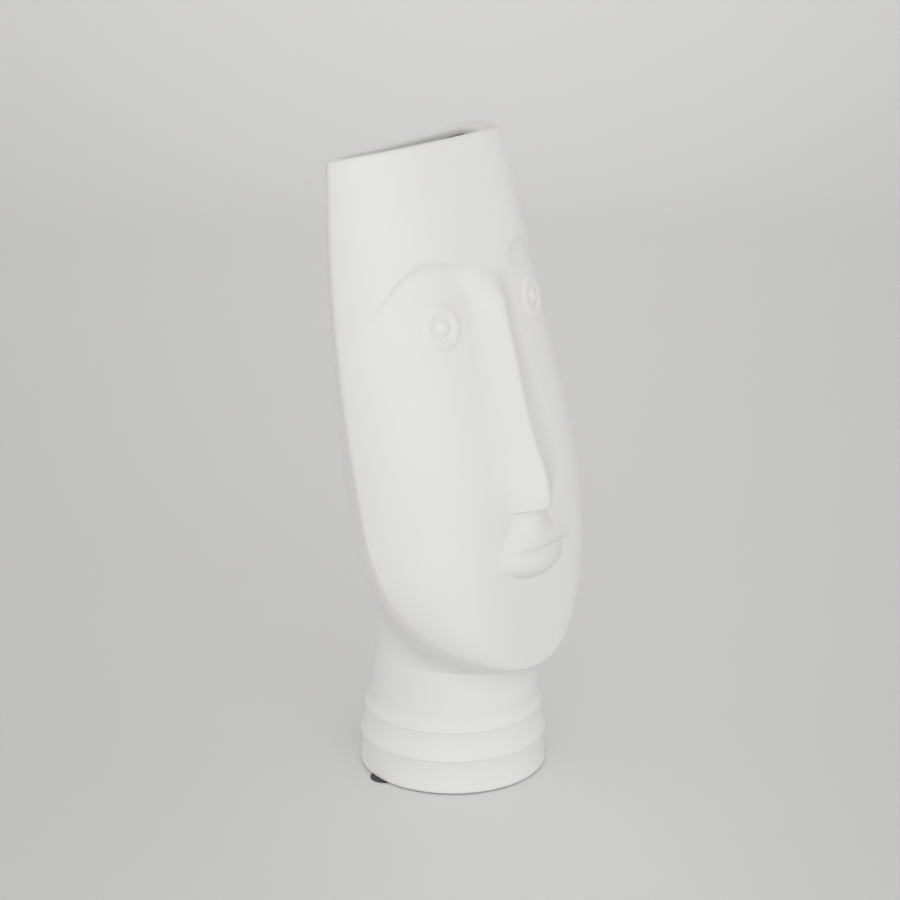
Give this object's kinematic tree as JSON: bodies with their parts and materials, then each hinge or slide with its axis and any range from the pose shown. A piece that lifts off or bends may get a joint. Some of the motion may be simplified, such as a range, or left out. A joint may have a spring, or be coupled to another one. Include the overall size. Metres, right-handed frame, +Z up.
{
  "type": "face vase",
  "caption": "Tall hollow ceramic vase shaped as a leaning stylised head on a banded neck, open at a slanting rim, standing on small stuck-on rubber pads.",
  "frame": {"origin": "middle of the part's box, on the table that the pads stand on", "axes": "+Z up, the face looks along -Y, +X to the right of someone who looks at the face"},
  "size_m": [0.13, 0.1017, 0.2794],
  "materials": {
    "matte_ceramic": "matte off-white ceramic with a fine dry grain",
    "pad_rubber": "dark grey moulded rubber",
    "adhesive_film": "thin dark adhesive"
  },
  "bodies": {
    "root": {"vase_body": "matte_ceramic", "foot_pad_front": "pad_rubber", "foot_pad_left": "pad_rubber", "foot_pad_back": "pad_rubber", "foot_pad_right": "pad_rubber", "foot_film_front": "adhesive_film", "foot_film_left": "adhesive_film", "foot_film_back": "adhesive_film", "foot_film_right": "adhesive_film"}
  },
  "joints": []
}
